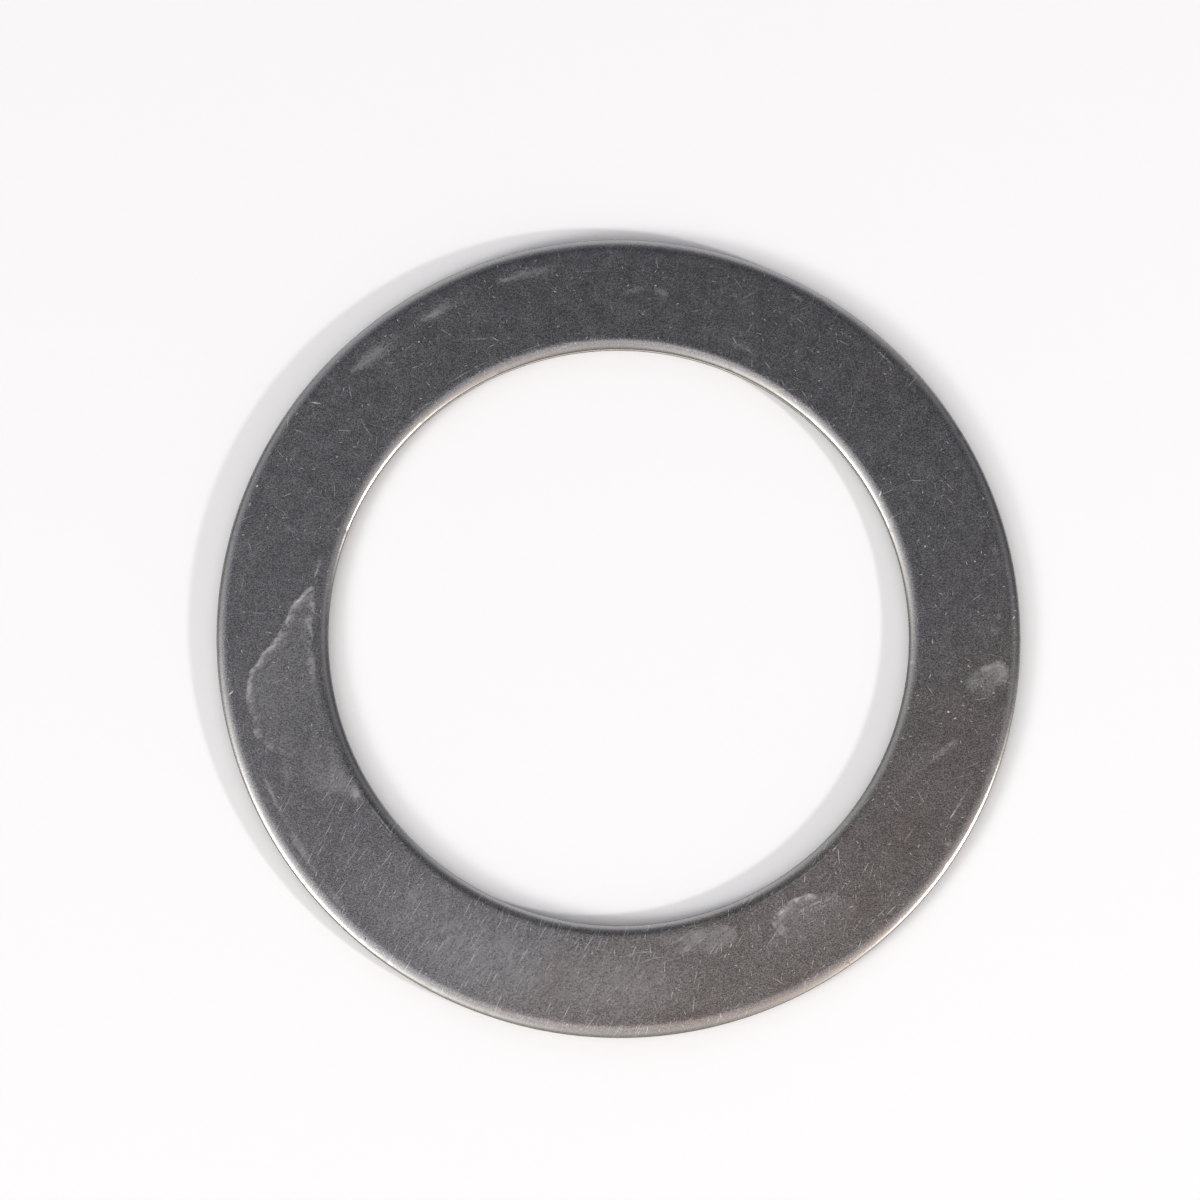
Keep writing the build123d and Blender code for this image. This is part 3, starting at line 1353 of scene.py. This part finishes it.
@dataclass(frozen=True)
class PaleBoard:
    """The plain board underneath, in flat off-white paint.

    Its back is clear, and so is the part hidden under the washer, so that the washer's resting
    face can be looked at from below and gets the room's light.

    Attributes:
        paint: Colour of the paint.
        roughness: Roughness of the paint.
        margin: How far the hidden part stays inside the washer's outline, in mm.
    """

    paint: str = "#F0F0F1"
    roughness: float = 0.65
    margin: float = 0.6

    def build(self, bore: float, rim: float) -> Material:
        """Makes the material.

        The hidden part is where the distance from the washer's axis differs from the middle of
        its face by less than half the face's width, less the margin.

        Args:
            bore: Radius of the washer's bore in mm.
            rim: Radius of its rim in mm.

        Returns:
            The material.
        """
        bench = FinishBench.start("board_flat_paint")
        bench.connect(Base_Color=linear(self.paint), Roughness=self.roughness)
        reach = add_node(bench.tree, "VectorMath", {"operation": "LENGTH"}, {0: bench.place})
        hidden = add_node(bench.tree, "Math", {"operation": "COMPARE"}, {
            0: reach.outputs["Value"], 1: (bore + rim) / 2, 2: (rim - bore) / 2 - self.margin})
        from_below = add_node(bench.tree, "NewGeometry").outputs["Backfacing"]
        share = add_node(bench.tree, "Math", {"operation": "MAXIMUM"}, {
            0: from_below, 1: hidden.outputs[0]})
        clear = add_node(bench.tree, "BsdfTransparent").outputs["BSDF"]
        bench.finish(add_node(bench.tree, "MixShader", None, {
            0: share.outputs[0], 1: bench.shader.outputs["BSDF"], 2: clear}).outputs[0])
        return bench.material


# ---------------------------------------------------------------------------------------------
# Studio
# ---------------------------------------------------------------------------------------------


def direction(bearing: float, elevation: float) -> Vector:
    """Unit vector towards a bearing from +X and an elevation above the board, both in degrees."""
    b, e = math.radians(bearing), math.radians(elevation)
    return Vector((math.cos(e) * math.cos(b), math.cos(e) * math.sin(b), math.sin(e)))


def lit(hex_colour: str, level: float) -> tuple[float, ...]:
    """A colour in linear light times a brightness, with an alpha of 1."""
    return tuple(level * channel for channel in linear(hex_colour)[:3]) + (1.0,)


@dataclass(frozen=True)
class Lamp:
    """A round soft light aimed at the washer.

    Attributes:
        name: The lamp's name.
        bearing: Where it stands, in degrees anticlockwise from +X.
        elevation: How high it stands, in degrees above the board.
        distance: Its distance in metres.
        across: Its diameter in metres.
        power: Its power in watts.
        colour: Its colour.
    """

    name: str
    bearing: float
    elevation: float
    distance: float
    across: float
    power: float
    colour: str

    def place(self, target: Vector) -> None:
        """Adds the lamp to the scene, facing the target."""
        data = bpy.data.lights.new(self.name, "AREA")
        data.shape = "DISK"
        data.size = self.across
        data.energy = self.power
        data.color = linear(self.colour)[:3]
        lamp = bpy.data.objects.new(self.name, data)
        away = direction(self.bearing, self.elevation)
        lamp.location = target + away * self.distance
        lamp.rotation_euler = away.to_track_quat("Z", "Y").to_euler()
        bpy.context.scene.collection.objects.link(lamp)


@dataclass(frozen=True)
class Patch:
    """A soft round patch of the room round the washer: a dark corner, or wall that catches light.

    Attributes:
        bearing: Direction of its middle, in degrees anticlockwise from +X.
        elevation: Elevation of its middle above the board, in degrees.
        inner: Angle from its middle within which it is full, in degrees.
        outer: Angle from its middle at which it has faded out, in degrees.
        level: Its brightness.
        tone: Its colour.
    """

    bearing: float
    elevation: float
    inner: float
    outer: float
    level: float
    tone: str

    def lay(self, tree: NodeTree, look: NodeSocket, under: NodeSocket) -> NodeSocket:
        """Lays the patch over the colour that is there.

        Its share goes smoothly from 1 at the inner angle to 0 at the outer one.

        Args:
            tree: The world's node tree.
            look: The direction looked in.
            under: The colour that is there.

        Returns:
            The colour with the patch on it.
        """
        towards = tuple(direction(self.bearing, self.elevation))
        near = add_node(tree, "VectorMath", {"operation": "DOT_PRODUCT"}, {0: look, 1: towards})
        away = add_node(tree, "Math", {"operation": "ARCCOSINE"}, {0: near.outputs["Value"]})
        share = add_node(tree, "MapRange", {"interpolation_type": "SMOOTHSTEP"}, {
            "Value": away.outputs[0], "From Min": math.radians(self.outer),
            "From Max": math.radians(self.inner), "To Min": 0.0, "To Max": 1.0})
        tone = lit(self.tone, self.level)
        return add_node(tree, "Mix", {"data_type": "RGBA"}, {
            0: share.outputs["Result"], 6: under, 7: tone}).outputs[2]


@dataclass(frozen=True)
class Studio:
    """The room: a pale board, two lamps, and pale walls with dark corners and lit stretches.

    The flat faces mirror the ceiling just north of overhead, so its dark patches set how dark
    they look, and the change from dark to pale there makes them brighter towards the south-west.

    Attributes:
        lamps: The lamps.
        wall: Colour of the walls.
        level: Brightness of the walls.
        patches: What differs from the walls, each laid over the ones before it.
        board_side: Side of the board in metres.
        board_gap: How far the paint lies below the few high spots that the washer rests on, in mm.
    """

    lamps: tuple[Lamp, ...] = (
        Lamp("lamp_right", 334.0, 26.0, 1.2, 0.10, 6.7, "#FFFDFB"),
        Lamp("lamp_left", 212.0, 32.0, 1.2, 0.38, 4.9, "#FFFEFC"),
    )
    wall: str = "#F8FAFF"
    level: float = 0.56
    patches: tuple[Patch, ...] = (
        # The far wall, then dark corners in the east and the north-west, and a duller stretch in
        # the south.
        Patch(90.0, 20.0, 25.0, 50.0, 0.80, "#F4F7FF"),
        Patch(15.0, 25.0, 22.0, 40.0, 0.12, "#DDE8FF"),
        Patch(158.0, 12.0, 14.0, 34.0, 0.17, "#EEF2FF"),
        Patch(275.0, 5.0, 10.0, 40.0, 0.40, "#FFF8F2"),
        # Wall behind each lamp, which catches its light, and the ceiling above it.
        Patch(216.0, 48.0, 18.0, 36.0, 1.7, "#FFFDFB"),
        Patch(322.0, 16.0, 14.0, 30.0, 1.6, "#FFFBF7"),
        Patch(312.0, 57.0, 8.0, 26.0, 1.2, "#FFF0E9"),
        Patch(250.0, 86.0, 2.0, 15.5, 2.0, "#FFF7F2"),
        # The unlit ceiling north of overhead, darkest towards the north-east.
        Patch(76.0, 68.4, 14.0, 26.6, 0.20, "#F6F8FD"),
        Patch(80.0, 77.8, 2.0, 19.2, 0.03, "#F6F8FD"),
    )
    board_side: float = 6.0
    board_gap: float = 0.02

    def build(self, target: Vector, bore: float, rim: float) -> None:
        """Sets up the room, the lamps and the board.

        Args:
            target: What the lamps are aimed at.
            bore: Radius of the washer's bore in mm.
            rim: Radius of its rim in mm.
        """
        for lamp in self.lamps:
            lamp.place(target)
        self.room()
        self.board(bore, rim)

    def room(self) -> None:
        """Makes the world of the walls and the patches laid over them."""
        world = bpy.data.worlds.new("room")
        world.use_nodes = True
        tree = world.node_tree
        tree.nodes.clear()
        look = add_node(tree, "TexCoord").outputs["Generated"]
        walls = add_node(tree, "RGB")
        walls.outputs[0].default_value = lit(self.wall, self.level)
        seen = walls.outputs[0]
        for patch in self.patches:
            seen = patch.lay(tree, look, seen)
        glow = add_node(tree, "Background", None, {"Color": seen, "Strength": 1.0})
        add_node(tree, "OutputWorld", None, {"Surface": glow.outputs["Background"]})
        bpy.context.scene.world = world

    def board(self, bore: float, rim: float) -> None:
        """Lays the board under the washer, whose radii are given in mm."""
        half = self.board_side / 2
        level = -self.board_gap * MM
        outline = [(x * half, y * half, level) for x, y in ((-1, -1), (1, -1), (1, 1), (-1, 1))]
        mesh = bpy.data.meshes.new("board")
        mesh.from_pydata(outline, [], [(0, 1, 2, 3)])
        mesh.materials.append(PaleBoard().build(bore, rim))
        board = bpy.data.objects.new("board", mesh)
        bpy.context.scene.collection.objects.link(board)


@dataclass(frozen=True)
class CameraStand:
    """A long lens almost straight above the washer, leaning back a little towards -Y.

    Offsets and the distance are shares of the washer's outside diameter.

    Attributes:
        lean_bearing: Bearing towards which the camera leans, in degrees.
        elevation: Elevation of the camera above the board, in degrees.
        distance: Distance from the board to the lens.
        aim_left: How far left of the washer's middle the picture's middle is.
        aim_up: How far above the washer's middle the picture's middle is.
        lens: Focal length in mm, on a sensor of the width below.
        sensor: Sensor width in mm.
    """

    lean_bearing: float = -98.6
    elevation: float = 82.62
    distance: float = 8.64
    aim_left: float = 0.0237
    aim_up: float = 0.0440
    lens: float = 208.5
    sensor: float = 36.0

    def place(self, low: Vector, high: Vector) -> None:
        """Adds the camera and makes it the scene's.

        Its right-hand axis is +X with the part along the view taken out, so the picture's up is
        close to +Y.

        Args:
            low: Lowest corner of the washer's box.
            high: Highest corner of the washer's box.
        """
        size = high.x - low.x
        middle = Vector(((low.x + high.x) / 2, (low.y + high.y) / 2, high.z))
        back = direction(self.lean_bearing, self.elevation)
        right = (Vector((1, 0, 0)) - back * back.x).normalized()
        up = back.cross(right)
        target = middle - right * self.aim_left * size + up * self.aim_up * size
        data = bpy.data.cameras.new("camera")
        data.lens = self.lens
        data.sensor_width = self.sensor
        data.dof.use_dof = False
        camera = bpy.data.objects.new("camera", data)
        turned = Matrix((right, up, back)).transposed().to_4x4()
        camera.matrix_world = Matrix.Translation(target + back * self.distance * size) @ turned
        bpy.context.scene.collection.objects.link(camera)
        bpy.context.scene.camera = camera


def main() -> None:
    """Builds the washer, its finishes, the studio and the camera."""
    logging.basicConfig(level=logging.INFO, format="%(name)s: %(message)s")
    low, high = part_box(CAD_NODE)
    plan = StampedRing.from_frame(frame["record"])
    ring = plan.build()
    plan.dress(ring, {
        Zone.TUMBLED: TumbledSteel().build(),
        Zone.LAND: BurnishedLand().build(),
        Zone.TORN: TornSteel().build(),
    })
    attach(ring, BODY)
    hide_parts(CAD_NODE)
    LOG.info("%s: %d faces, rim %.2f mm, bore %.2f mm, %.2f mm thick", ring.name,
             len(ring.data.polygons), 2 * plan.rim, 2 * plan.bore, plan.thickness)
    studio = Studio()
    studio.build(Vector((0, 0, high.z)), plan.bore, plan.rim)
    LOG.info("studio: board and %d lamps", len(studio.lamps))
    CameraStand().place(low, high)
    bpy.context.scene.view_settings.view_transform = "Standard"


if __name__ == "__main__":
    main()
